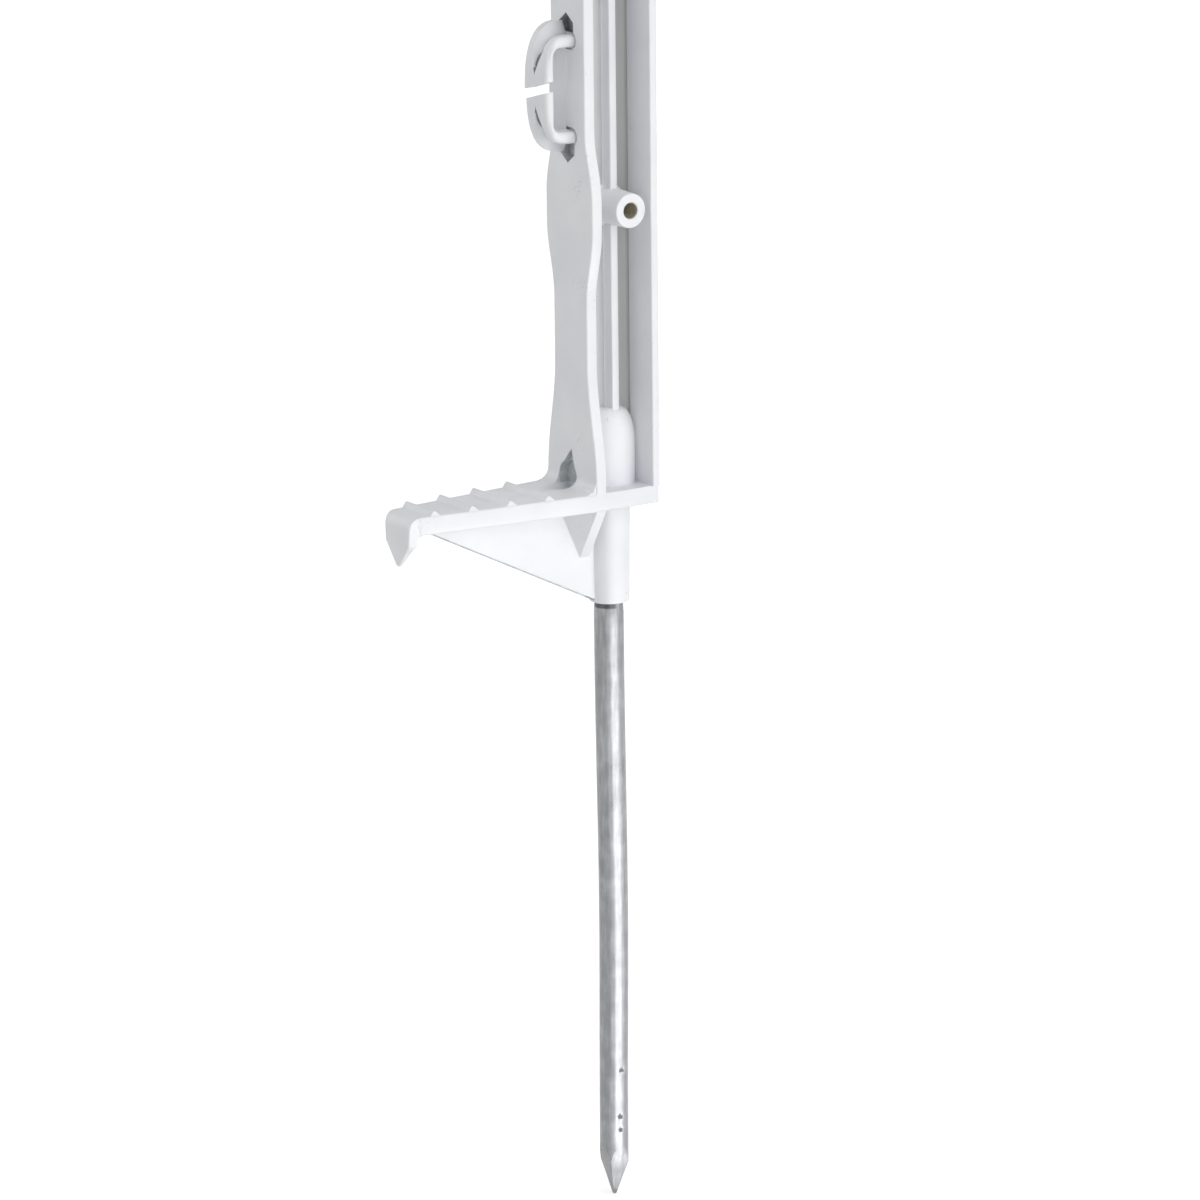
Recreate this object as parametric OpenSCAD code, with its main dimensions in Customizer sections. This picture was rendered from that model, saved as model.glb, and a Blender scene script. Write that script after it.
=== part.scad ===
// Tread-in post for an electric tape fence: a moulded I-section post on a steel spike.
// Origin on the spike's axis at the flat underside of the collar, +Z up the post.
// The tread and the tape clips stand on the -X side, the tape runs along Y.

/* [Spike] */
// Diameter of the steel spike
spike_d = 12; // [11:0.5:13]
// Length of the spike below the collar
spike_len = 250; // [200:5:300]
// Length of the ground point at its end
spike_tip = 20; // [16:1:28]
// Length of the spike inside the socket
spike_stub = 62; // [40:2:70]

/* [Post] */
// Number of bays, each with one boss and one tape clip
bays = 6; // [1:1:6]
// Height of one bay
bay_pitch = 190; // [170:5:200]
// Height where the first bay starts
bay_start = 111; // [110:1:116]
// Outer face of the clip side flange, from the spike's axis
clip_face_x = 17; // [16.6:0.2:18]
// Outer face of the back flange, from the spike's axis
back_face_x = 12.2; // [12:0.2:13.4]
// Thickness of the clip side flange
clip_flange_t = 4.8; // [4.6:0.1:5]
// Thickness of the back flange
back_flange_t = 3.4; // [3:0.2:4]
// Width of the back flange
back_flange_w = 37.6; // [36:0.4:39]
// Thickness of the web between the flanges
web_t = 2.6; // [2:0.2:3]
// Width of the spine along the middle of the web
spine_w = 3.4; // [3:0.2:4.4]
// Height of the spine's faces from the web's mid-plane
spine_h = 6.2; // [5:0.2:6.4]

/* [Clip side flange] */
// Width between the bosses
flange_w = 23.6; // [23:0.2:25]
// Width beside a boss
flange_w_boss = 33; // [32:0.5:35]
// Width at the tread
flange_w_foot = 35.4; // [34.6:0.2:36.6]

/* [Boss] */
// Diameter of a boss at the web
boss_d = 14.4; // [13.6:0.2:15.4]
// Diameter of a boss at its end
boss_end_d = 13.6; // [13:0.2:13.6]
// Diameter of the bore through it
boss_bore_d = 6.4; // [6:0.2:7.6]
// Length of a boss through the post
boss_len = 36; // [34:1:37]
// Height of the boss above the start of its bay
boss_rise = 48.5; // [47:0.5:51]

/* [Tape clip] */
// Height of the clip's middle above the start of its bay
clip_rise = 96; // [95:0.5:98]
// Clear height inside the loop
clip_inner_h = 32.6; // [31:0.2:33]
// Clear depth inside the loop
clip_inner_d = 8.8; // [8:0.2:9]
// Gap between the two horns
clip_gap = 3.8; // [3.4:0.2:4.4]
// Slant of that gap
clip_gap_slant = 16; // [12:1:18]
// Reach of the front plate from the flange
front_reach = 13; // [12.6:0.2:13.2]
// Reach of the rear plate from the flange
rear_reach = 14.2; // [13.6:0.2:14.6]
// Height of the front plates over both horns
front_plates_h = 42.6; // [41:0.2:43]
// Height of the rear plates over both horns
rear_plates_h = 51.4; // [50:0.2:52]

/* [Foot] */
// Length of the tread from the flange to the hook's face
tread_len = 81; // [78:1:90]
// Width of the tread at its outer end
tread_w_end = 18.6; // [18:0.2:20]
// Thickness of the tread
tread_t = 7.2; // [7:0.1:7.6]
// Height of the tread's top face
tread_top = 48.6; // [47.4:0.2:50]
// Height of the grip ribs on the tread
grip_h = 2; // [1.4:0.2:2.4]
// Radius of the fillet between the tread and the flange
tread_fillet_r = 5; // [4:0.5:6]
// Drop of the hook's point below the tread's top
hook_drop = 20.6; // [18:0.2:24]
// Diameter of the socket above the tread
socket_d = 21.4; // [21:0.2:22]
// Diameter of the collar at its lower end
collar_d = 16; // [15.6:0.2:16.8]

/* [Hidden] */
eps = 0.01;
arc_step = 9;
clip_x = -clip_face_x;
web_from_x = clip_x + clip_flange_t;
web_to_x = back_face_x - back_flange_t;
bay_top = bay_start + bays * bay_pitch;
tread_under = tread_top - tread_t;
tread_end_x = clip_x - tread_len;

// The part of the spike that the moulding grips is turned down a little
stub_d = spike_d - 0.8;
point_flats = 3;
point_turn = 147;

// Socket round the spike, with an oval shoulder and a lead-in at its mouth
collar_top_d = 17.2;
socket_top = 79;
shoulder_h = 13.5;
shoulder_w = 6.2;
lead_d = spike_d + 1;
lead_h = 2;

// Where the flange widens beside a boss, and where it widens towards the tread
bulge_low = 36;
bulge_flat_low = 7;
bulge_flat_high = 5;
bulge_high = 31;
foot_wide_z = tread_top + 4;
foot_slim_z = bay_start - 12;

// Pointed pockets in the flange over and under each clip
pocket_w = 10;
pocket_y = 0.5;
pocket_from = 21.6;
pocket_to = 29.4;
pocket_point = 3.6;
pocket_depth = 4;

// Teardrop pocket at the foot of the flange, from a pin that slopes out over the tread
tear_r = 6.4;
tear_y = 2.8;
tear_z = tread_top + 3.4;
tear_slope = 12;
tear_tip = [0.2, 63.8];
tear_depth = 4;

// Horns of a tape clip: front plate, groove, rear plate
front_y = -5;
front_t = 4.2;
rear_y = 5;
rear_t = 4;
front_power = 3.4;
rear_power = 2.6;
lower_reach_less = 0.6;
groove_wall = 2;
groove_tip = [2.5, 7];
groove_wide_z = 14.2;
loop_corner_r = 3;
tip_step = 0.2;
gap_slant_y = 2;
seat_from_y = 1;
seat_rise = 2.6;

// Tread, hook and what stiffens them
grip_count = 4;
grip_first = 20.9;
grip_last = tread_len - 10.9;
grip_gap = (grip_last - grip_first) / (grip_count - 1);
grip_outer = 1.9;
grip_inner = 2.9;
grip_crest = 1;
hook_t = 4.6;
hook_tip_t = 1.8;
hook_bend_r = 5;
hook_inner_r = 2;
hook_w = 17.4;
hook_shoulder = 11.4;
gusset_t = 3;
gusset_end_x = tread_end_x + hook_t + hook_inner_r + 3;
gusset_foot_x = -collar_d / 2;
gusset_foot_z = 1;
fin_t = 4.4;
fin_low_z = 19.5;
fin_low_x = clip_x + 2.3;
fin_web_x = clip_x - 7.2;
fin_front_x = clip_x + 0.5;

function bay_nodes(name) = [for (k = [1:bays]) str(name, "_", k)];

function bay_z(k) = bay_start + (k - 1) * bay_pitch;
function boss_z(k) = bay_z(k) + boss_rise;
function clip_z(k) = bay_z(k) + clip_rise;
function ease(t) = (1 - cos(180 * min(1, max(0, t)))) / 2;

// Quarter of a superellipse, from the reach on one axis to the height on the other
function quarter(reach, height, power) =
    [for (a = [0:arc_step:90])
        [reach * pow(cos(a), 2 / power), height * pow(sin(a), 2 / power)]];

// Arc of a circle round a centre
function arc(centre, r, from, to) =
    [for (i = [0:6])
        let (a = from + (to - from) * i / 6)
        centre + r * [cos(a), sin(a)]];

// Half width of the clip side flange at a height above the start of its bay
function bay_half_w(h) =
    let (up = ease((h - boss_rise + bulge_low) / (bulge_low - bulge_flat_low)))
    let (down = ease((boss_rise + bulge_high - h) / (bulge_high - bulge_flat_high)))
    (flange_w + (flange_w_boss - flange_w) * min(up, down)) / 2;

// Half width of the flange between the tread and the first bay
function foot_half_w(z) =
    (flange_w + (flange_w_foot - flange_w) * ease((foot_slim_z - z) / (foot_slim_z - foot_wide_z))) / 2;

// A profile drawn in Y and Z, standing on the plane x and t thick towards +X
module yz_plate(x, t) {
    translate([x, 0, 0])
        rotate([90, 0, 90])
            linear_extrude(t)
                children();
}

// A profile drawn in X and Z, standing on the plane y and t thick towards +Y
module xz_plate(y, t) {
    translate([0, y + t, 0])
        rotate([90, 0, 0])
            linear_extrude(t)
                children();
}

module spike() {
    flat_tilt = atan(spike_d / 2 / spike_tip);
    color("silver")
        difference() {
            union() {
                translate([0, 0, -spike_len])
                    cylinder(d = spike_d, h = spike_len, $fn = 48);
                cylinder(d = stub_d, h = spike_stub, $fn = 48);
            }
            for (k = [0:point_flats - 1])
                translate([0, 0, -spike_len])
                    rotate([0, 0, point_turn + k * 360 / point_flats])
                        rotate([0, flat_tilt, 0])
                            translate([0, -spike_d, -spike_tip])
                                cube([spike_d, 2 * spike_d, 3 * spike_tip]);
        }
}

// Round body of the socket above a height, grown by a clearance
module socket_body(from_z) {
    shoulder = [for (a = [0:arc_step:90])
        [socket_d / 2 - shoulder_w + shoulder_w * cos(a),
         socket_top - shoulder_h + shoulder_h * sin(a)]];
    rotate_extrude($fn = 64)
        polygon(concat([[0, from_z], [socket_d / 2, from_z]], shoulder, [[0, socket_top]]));
}

module socket() {
    color("white")
        difference() {
            union() {
                cylinder(d1 = collar_d, d2 = collar_top_d, h = tread_under, $fn = 64);
                socket_body(tread_under);
            }
            translate([0, 0, -eps])
                cylinder(d = stub_d, h = spike_stub + eps, $fn = 48);
            translate([0, 0, -eps])
                cylinder(d = lead_d, h = lead_h + eps, $fn = 48);
            back_flange_body();
        }
}

module tread_outline() {
    polygon([
        [clip_x, -flange_w_foot / 2], [clip_x, flange_w_foot / 2],
        [tread_end_x, tread_w_end / 2], [tread_end_x, -tread_w_end / 2]
    ]);
}

module tread() {
    hook_from_x = tread_end_x + hook_bend_r;
    color("white")
        difference() {
            translate([0, 0, tread_under])
                linear_extrude(tread_t)
                    union() {
                        intersection() {
                            tread_outline();
                            translate([hook_from_x, -flange_w_foot])
                                square([tread_len, 2 * flange_w_foot]);
                        }
                        translate([clip_x - eps, -flange_w_foot / 2])
                            square([clip_face_x + back_face_x + eps, flange_w_foot]);
                    }
            socket_body(tread_under - 1);
            tear_pin();
        }
}

// Concave fillet that runs across the tread where it meets the flange
module tread_fillet() {
    width = flange_w_foot - 0.8;
    color("white")
        difference() {
            xz_plate(-width / 2, width)
                difference() {
                    translate([clip_x - tread_fillet_r, tread_top])
                        square(tread_fillet_r);
                    translate([clip_x - tread_fillet_r, tread_top + tread_fillet_r])
                        circle(r = tread_fillet_r, $fn = 48);
                }
            tear_pin();
            teardrop();
        }
}

// Room of the sloping pin that leaves the pocket and a groove in the tread
module tear_pin() {
    reach = 26;
    intersection() {
        translate([clip_x, tear_y, tear_z])
            rotate([0, -90 + tear_slope, 0])
                translate([0, 0, -2 * tear_depth])
                    cylinder(r = tear_r, h = reach + 2 * tear_depth, $fn = 48);
        translate([clip_x - 2 * reach, tear_y - reach, tread_under])
            cube([2 * reach + tear_depth, 2 * reach, 2 * reach]);
    }
}

module tread_grips() {
    color("white")
        intersection() {
            for (k = [0:grip_count - 1])
                translate([clip_x - grip_first - k * grip_gap, 0, tread_top])
                    xz_plate(-flange_w_foot / 2, flange_w_foot)
                        polygon([
                            [-grip_outer, 0], [grip_inner, 0],
                            [grip_crest / 2, grip_h], [-grip_crest / 2, grip_h]
                        ]);
            translate([0, 0, tread_top])
                linear_extrude(grip_h)
                    tread_outline();
        }
}

// Bend and spade point at the tread's outer end
module hook() {
    inner_x = tread_end_x + hook_t;
    color("white")
        intersection() {
            xz_plate(-tread_w_end, 2 * tread_w_end)
                polygon(concat(
                    [[tread_end_x, tread_top - hook_drop]],
                    [for (p = arc([0, 0], hook_bend_r, 180, 90))
                        [tread_end_x + hook_bend_r, tread_top - hook_bend_r] + p],
                    [[tread_end_x + hook_bend_r, tread_under]],
                    [for (p = arc([0, 0], hook_inner_r, 90, 180))
                        [inner_x + hook_inner_r, tread_under - hook_inner_r] + p],
                    [[tread_end_x + hook_tip_t, tread_top - hook_drop]]
                ));
            yz_plate(tread_end_x, hook_bend_r)
                hook_outline();
        }
}

// Face of the hook: it narrows round the bend and ends in a spade point
module hook_outline() {
    root_w = tread_w_end + (flange_w_foot - tread_w_end) * hook_bend_r / tread_len;
    polygon([
        [-root_w / 2, tread_top], [root_w / 2, tread_top],
        [hook_w / 2, tread_top - hook_bend_r],
        [hook_w / 2, tread_top - hook_shoulder],
        [0, tread_top - hook_drop],
        [-hook_w / 2, tread_top - hook_shoulder],
        [-hook_w / 2, tread_top - hook_bend_r]
    ]);
}

module gusset() {
    color("white")
        difference() {
            xz_plate(-gusset_t / 2, gusset_t)
                polygon([
                    [0, gusset_foot_z], [gusset_foot_x, gusset_foot_z],
                    [gusset_end_x, tread_under], [0, tread_under]
                ]);
            cylinder(d1 = collar_d, d2 = collar_top_d, h = tread_under, $fn = 64);
        }
}

module gusset_fins() {
    color("white")
        for (side = [-1, 1])
            scale([1, side, 1])
                fin();
}

// Slanting plate from the gusset and the collar out to the tread's edge
module fin() {
    corners = [
        [fin_web_x, gusset_t / 2, tread_under - eps],
        [fin_front_x, flange_w_foot / 2 - 0.6, tread_under - eps],
        [fin_low_x, gusset_t / 2, fin_low_z]
    ];
    hull()
        for (p = corners)
            translate(p)
                cube([fin_t, eps, eps]);
}

module web() {
    color("white")
        difference() {
            xz_plate(-web_t / 2, web_t)
                polygon([
                    [web_from_x, tread_top], [web_to_x, tread_top],
                    [web_to_x, bay_top], [web_from_x, bay_top]
                ]);
            socket_body(tread_top - 1);
            for (k = [1:bays])
                boss_body(k);
        }
}

module spine(side) {
    color("white")
        difference() {
            scale([1, side, 1])
                translate([-spine_w / 2, web_t / 2, tread_top])
                    cube([spine_w, spine_h - web_t / 2, bay_top - tread_top]);
            socket_body(tread_top - 1);
            for (k = [1:bays])
                boss_body(k);
        }
}

module back_flange_body() {
    translate([web_to_x, -back_flange_w / 2, tread_top])
        cube([back_flange_t, back_flange_w, bay_top - tread_top]);
}

module back_flange() {
    color("white")
        back_flange_body();
}

module foot_flange() {
    step = (bay_start - tread_top) / 20;
    color("white")
        difference() {
            yz_plate(clip_x, clip_flange_t)
                polygon(concat(
                    [for (z = [tread_top:step:bay_start + eps]) [foot_half_w(z), z]],
                    [for (z = [bay_start:-step:tread_top - eps]) [-foot_half_w(z), z]]
                ));
            tear_pin();
            teardrop();
        }
}

// Pointed roof of the teardrop pocket, over the round of the pin
module teardrop() {
    lean = 24;
    reach = tread_fillet_r + 1;
    translate([-reach, 0, 0])
        yz_plate(clip_x, reach + tear_depth / 2)
            polygon([
                [tear_y - tear_r * cos(lean), tear_z + tear_r * sin(lean) / 2],
                [tear_y + tear_r * cos(lean), tear_z + tear_r * sin(lean)],
                tear_tip
            ]);
}

module clip_flange(k) {
    step = bay_pitch / 76;
    color("white")
        difference() {
            yz_plate(clip_x, clip_flange_t)
                polygon(concat(
                    [for (h = [0:step:bay_pitch + eps]) [bay_half_w(h), bay_z(k) + h]],
                    [for (h = [bay_pitch:-step:-eps]) [-bay_half_w(h), bay_z(k) + h]]
                ));
            for (up = [-1, 1])
                translate([-1, pocket_y, clip_z(k)])
                    scale([1, 1, up])
                        yz_plate(clip_x, pocket_depth + 1)
                            pocket_outline();
        }
}

module pocket_outline() {
    polygon([
        [-pocket_w / 2, pocket_from], [pocket_w / 2, pocket_from],
        [pocket_w / 2, pocket_to - pocket_point], [0, pocket_to],
        [-pocket_w / 2, pocket_to - pocket_point]
    ]);
}

// Solid boss from face to face, with draft towards both ends
module boss_body(k) {
    translate([0, 0, boss_z(k)])
        for (side = [-90, 90])
            rotate([side, 0, 0])
                cylinder(d1 = boss_d, d2 = boss_end_d, h = boss_len / 2, $fn = 48);
}

module boss(k) {
    color("white")
        difference() {
            boss_body(k);
            translate([0, boss_len / 2 + 1, boss_z(k)])
                rotate([90, 0, 0])
                    cylinder(d = boss_bore_d, h = boss_len + 2, $fn = 48);
        }
}

// Upper half of one plate of a horn, drawn outwards from the flange
module horn_plate(reach, height, power) {
    difference() {
        polygon(concat([[0, 0]], quarter(reach, height, power)));
        loop_quarter();
    }
}

// Upper half of the clear loop, rounded at its outer corner
module loop_quarter() {
    corner = [clip_inner_d - loop_corner_r, clip_inner_h / 2 - loop_corner_r];
    translate([-1, -1])
        square([corner[0] + 1, clip_inner_h / 2 + 1]);
    translate([-1, -1])
        square([clip_inner_d + 1, corner[1] + 1]);
    translate(corner)
        circle(r = loop_corner_r, $fn = 48);
}

// Wall round the loop that closes the groove between the two plates
module horn_core() {
    difference() {
        square([clip_inner_d + groove_wall, clip_inner_h / 2 + groove_wall]);
        loop_quarter();
    }
}

// Face of the groove: a point near the horn's tip that widens to the room between the plates
module groove_outline() {
    polygon([
        groove_tip, [rear_y, groove_wide_z], [rear_y, rear_plates_h],
        [front_y + front_t, rear_plates_h], [front_y + front_t, groove_wide_z]
    ]);
}

// Wall round the loop, and the solid tip that slopes from one plate to the other
module horn_filling(core_y, reach) {
    xz_plate(core_y, rear_y - core_y)
        horn_core();
    difference() {
        intersection() {
            linear_extrude(groove_wide_z)
                polygon([
                    [clip_inner_d, core_y], [front_reach - tip_step, core_y],
                    [reach, rear_y], [clip_inner_d, rear_y]
                ]);
            xz_plate(core_y, rear_y - core_y)
                horn_plate(reach, rear_plates_h / 2, rear_power);
        }
        yz_plate(-1, rear_reach + 2)
            groove_outline();
    }
}

// Room that the gap between the two horns takes
module gap_space() {
    translate([0, gap_slant_y, 0])
        rotate([-clip_gap_slant, 0, 0])
            translate([0, -15, -15 - clip_gap / 2])
                cube([30, 30, 15 + clip_gap]);
}

module horn(k, up) {
    core_y = front_y + front_t;
    reach = rear_reach - (up == 1 ? 0 : lower_reach_less);
    color("white")
        translate([clip_x, 0, clip_z(k)])
            mirror([1, 0, 0])
                difference() {
                    scale([1, 1, up])
                        union() {
                            xz_plate(front_y, front_t)
                                horn_plate(front_reach, front_plates_h / 2, front_power);
                            horn_filling(core_y, reach);
                            xz_plate(rear_y, rear_t)
                                horn_plate(reach, rear_plates_h / 2, rear_power);
                        }
                    if (up == 1)
                        gap_space();
                    else
                        rotate([180, 0, 0])
                            translate([0, -2 * gap_slant_y, 0])
                                gap_space();
                }
}

// Low wedge on the flange that the tape bears on
module clip_seat(k) {
    seat_to_y = rear_y + rear_t;
    color("white")
        translate([clip_x, 0, clip_z(k) - clip_inner_h / 2])
            linear_extrude(clip_inner_h)
                polygon([[0, seat_from_y], [0, seat_to_y], [-seat_rise, seat_to_y]]);
}

spike();
socket();
tread();
tread_fillet();
tread_grips();
hook();
gusset();
gusset_fins();
web();
spine(-1);  // spine_front
spine(1);  // spine_rear
back_flange();
foot_flange();
for (k = [1:bays]) {
    clip_flange(k);
    boss(k);
    horn(k, 1);
    horn(k, -1);
    clip_seat(k);
}
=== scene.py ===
import math
import bmesh
import bpy
from mathutils import Matrix, Vector


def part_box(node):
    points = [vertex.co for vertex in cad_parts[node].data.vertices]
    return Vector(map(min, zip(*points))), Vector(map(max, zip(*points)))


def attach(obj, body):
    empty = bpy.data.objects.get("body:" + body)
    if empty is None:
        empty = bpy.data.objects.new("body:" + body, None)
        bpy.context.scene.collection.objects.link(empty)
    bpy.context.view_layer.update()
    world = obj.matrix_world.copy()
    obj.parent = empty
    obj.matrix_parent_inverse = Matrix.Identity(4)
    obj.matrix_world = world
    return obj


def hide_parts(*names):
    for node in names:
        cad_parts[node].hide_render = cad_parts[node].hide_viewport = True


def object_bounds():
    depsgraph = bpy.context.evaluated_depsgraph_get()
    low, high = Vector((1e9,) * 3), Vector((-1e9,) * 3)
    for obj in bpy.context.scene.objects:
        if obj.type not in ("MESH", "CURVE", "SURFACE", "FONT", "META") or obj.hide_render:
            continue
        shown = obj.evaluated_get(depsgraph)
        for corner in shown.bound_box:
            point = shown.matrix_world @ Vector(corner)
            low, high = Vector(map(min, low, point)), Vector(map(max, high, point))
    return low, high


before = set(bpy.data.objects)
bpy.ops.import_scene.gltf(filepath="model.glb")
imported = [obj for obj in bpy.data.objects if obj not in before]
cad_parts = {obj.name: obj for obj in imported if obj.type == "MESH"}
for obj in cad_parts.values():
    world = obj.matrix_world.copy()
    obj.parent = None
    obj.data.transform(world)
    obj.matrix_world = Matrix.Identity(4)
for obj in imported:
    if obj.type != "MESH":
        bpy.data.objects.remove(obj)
cadBox = [list(corner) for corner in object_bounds()]
scene = bpy.context.scene
mm = 0.001
bays = sum(name.startswith("boss_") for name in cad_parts)
print("frame loaded:", bays, "bays")


# a node's lowest and highest corners, in mm
def low(node):
    return Vector(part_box(node)[0]) / mm


def high(node):
    return Vector(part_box(node)[1]) / mm


def toLinear(code):
    channels = [int(code[i:i + 2], 16) / 255 for i in (1, 3, 5)]
    return (*[c / 12.92 if c <= 0.04045 else ((c + 0.055) / 1.055) ** 2.4 for c in channels], 1)


# cells of a pattern with this size in mm that go into a metre
def patternScale(size):
    return 1 / (size * mm)


def addNode(tree, kind, settings=None, inputs=None):
    node = tree.nodes.new("ShaderNode" + kind)
    for name, value in (settings or {}).items():
        if name != "stops":
            setattr(node, name, value)
            continue
        stops = node.color_ramp.elements     # a colour ramp takes pairs of position and colour
        while len(stops) < len(value):
            stops.new(0.5)
        for stop, (position, code) in zip(stops, value):
            stop.position = position
            stop.color = toLinear(code)
    for name, value in (inputs or {}).items():
        if isinstance(value, bpy.types.NodeSocket):
            tree.links.new(value, node.inputs[name])
        else:
            node.inputs[name].default_value = value
    return node


def startMaterial(name, kind="BsdfPrincipled"):
    material = bpy.data.materials.new(name)
    material.use_nodes = True
    tree = material.node_tree
    tree.nodes.clear()
    shader = addNode(tree, kind)
    addNode(tree, "OutputMaterial", inputs={"Surface": shader.outputs[0]})
    return material, tree, shader


plasticLook = {
    "white": "#e9eaec",
    "cooler": "#e2e4e8",
    "scuff": "#d3d5d7",
    "cloud": 34,                  # mm across a cloud in the colour
    "cloudTones": (0.35, 0.62),   # noise at which it is the cooler one, and white
    "patch": 22,                  # mm across a scuffed patch
    "speck": 1.1,                 # mm across one scuff
    "scuffed": (0.37, 0.52),      # patch times speck where a scuff starts, and where it is full
    "grain": 0.9,                 # mm across the skin's grain, coarser than real so that it shows
    "grainDeep": 0.05,
    "grainShows": 0.15,
    "roughness": (0.38, 0.5),
    "ior": 1.49,
}


# Polypropylene, injection moulded: an even cool white with a satin skin, faint clouds and scuffs
def mouldedPolypropylene():
    look = plasticLook
    material, tree, shader = startMaterial("mouldedPolypropylene")
    place = addNode(tree, "TexCoord").outputs["Object"]
    cloud = addNode(tree, "TexNoise", inputs={
        "Vector": place, "Scale": patternScale(look["cloud"]), "Detail": 3})
    stops = list(zip(look["cloudTones"], (look["cooler"], look["white"])))
    tint = addNode(tree, "ValToRGB", {"stops": stops}, {"Fac": cloud.outputs["Fac"]})
    patch = addNode(tree, "TexNoise", inputs={
        "Vector": place, "Scale": patternScale(look["patch"]), "Detail": 2})
    speck = addNode(tree, "TexNoise", inputs={
        "Vector": place, "Scale": patternScale(look["speck"]), "Detail": 4})
    both = addNode(tree, "Math", {"operation": "MULTIPLY"}, {
        0: patch.outputs["Fac"], 1: speck.outputs["Fac"]})
    starts, full = look["scuffed"]
    scuffed = addNode(tree, "MapRange", inputs={
        "Value": both.outputs[0], "From Min": starts, "From Max": full})
    colour = addNode(tree, "Mix", {"data_type": "RGBA"}, {
        0: scuffed.outputs["Result"], 6: tint.outputs["Color"], 7: toLinear(look["scuff"])})
    tree.links.new(colour.outputs[2], shader.inputs["Base Color"])
    smooth, rough = look["roughness"]
    gloss = addNode(tree, "MapRange", inputs={
        "Value": speck.outputs["Fac"], "To Min": smooth, "To Max": rough})
    tree.links.new(gloss.outputs["Result"], shader.inputs["Roughness"])
    grain = addNode(tree, "TexNoise", inputs={
        "Vector": place, "Scale": patternScale(look["grain"]), "Detail": 2})
    skin = addNode(tree, "Bump", inputs={
        "Height": grain.outputs["Fac"], "Strength": look["grainShows"],
        "Distance": look["grainDeep"] * mm})
    tree.links.new(skin.outputs["Normal"], shader.inputs["Normal"])
    shader.inputs["IOR"].default_value = look["ior"]
    return material


steelLook = {
    "dull": "#7b7c7e",
    "middle": "#87888a",
    "bright": "#97989a",
    "drawn": 1.4,                 # mm across a drawing streak
    "drawnLong": 0.12,            # its width as a share of its length
    "blotch": 7,                  # mm across a blotch in the zinc
    "tones": (0.7, 1.3),          # streak plus blotch at which it is dull, and bright
    "streakDeep": 0.05,
    "streakShows": 0.12,
    "roughness": (0.24, 0.34),
    "collarShade": "#4e4e52",            # a dark ring of painted shade under the collar, on the clip side
    "ring": (-2.8, -2),           # mm from the collar's underside: where it starts, and is full
    "ringSide": (0.5, -1.5),      # mm across the rod: where it starts, and is full
}


# Steel rod, hot dip galvanised: a grey metal with drawn streaks and dull blotches in the zinc, and
# a ring of painted shade under the collar
def galvanisedSteel():
    look = steelLook
    material, tree, shader = startMaterial("galvanisedSteel")
    place = addNode(tree, "TexCoord").outputs["Object"]
    along = addNode(tree, "Mapping", inputs={"Vector": place, "Scale": (1, 1, look["drawnLong"])})
    drawn = addNode(tree, "TexNoise", inputs={
        "Vector": along.outputs[0], "Scale": patternScale(look["drawn"]), "Detail": 3})
    blotch = addNode(tree, "TexNoise", inputs={
        "Vector": place, "Scale": patternScale(look["blotch"]), "Detail": 4})
    both = addNode(tree, "Math", {"operation": "ADD"}, {
        0: drawn.outputs["Fac"], 1: blotch.outputs["Fac"]})
    dull, bright = look["tones"]
    shade = addNode(tree, "MapRange", inputs={
        "Value": both.outputs[0], "From Min": dull, "From Max": bright})
    stops = [(0, look["dull"]), (0.5, look["middle"]), (1, look["bright"])]
    zinc = addNode(tree, "ValToRGB", {"stops": stops}, {"Fac": shade.outputs["Result"]})
    # painted shade: the steel darkens in a ring just under the collar, on the clip side only
    parts = addNode(tree, "SeparateXYZ", inputs={"Vector": place})
    ring = []
    for axis, (starts, full) in (("Z", look["ring"]), ("X", look["ringSide"])):
        ring.append(addNode(tree, "MapRange", {"interpolation_type": "SMOOTHSTEP"}, {
            "Value": parts.outputs[axis], "From Min": starts * mm, "From Max": full * mm}))
    paintedShade = addNode(tree, "Math", {"operation": "MULTIPLY"}, {
        0: ring[0].outputs["Result"], 1: ring[1].outputs["Result"]})
    colour = addNode(tree, "Mix", {"data_type": "RGBA"}, {
        0: paintedShade.outputs[0], 6: zinc.outputs["Color"], 7: toLinear(look["collarShade"])})
    tree.links.new(colour.outputs[2], shader.inputs["Base Color"])
    smooth, rough = look["roughness"]
    gloss = addNode(tree, "MapRange", inputs={
        "Value": blotch.outputs["Fac"], "To Min": smooth, "To Max": rough})
    tree.links.new(gloss.outputs["Result"], shader.inputs["Roughness"])
    skin = addNode(tree, "Bump", inputs={
        "Height": drawn.outputs["Fac"], "Strength": look["streakShows"],
        "Distance": look["streakDeep"] * mm})
    tree.links.new(skin.outputs["Normal"], shader.inputs["Normal"])
    shader.inputs["Metallic"].default_value = 1
    return material


dustAndShadeLook = {
    "grit": 2.5,                  # mm across a clot in the mottled colour
    "tones": (0.35, 0.65),        # noise at which it is dark, and pale
    "roughness": 0.7,
    "recesses": {                 # where each goes: dark and pale colour
        "deepPaintedShade": ("#8b9195", "#a5abaf"),     # painted shade, grey: upper pockets, deep grooves, underside by the collar
        "palePaintedShade": ("#b9bec0", "#cdd1d3"),    # painted shade, paler: lower pockets, the pin hollow, shallow grooves, undersides
        "dustyBore": ("#aca693", "#cbc6b5"),       # bores, a brownish film
        "pitPaintedShade": ("#5f6364", "#777b7c"),         # painted shade in the dents of the spike, dark
    },
}
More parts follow.
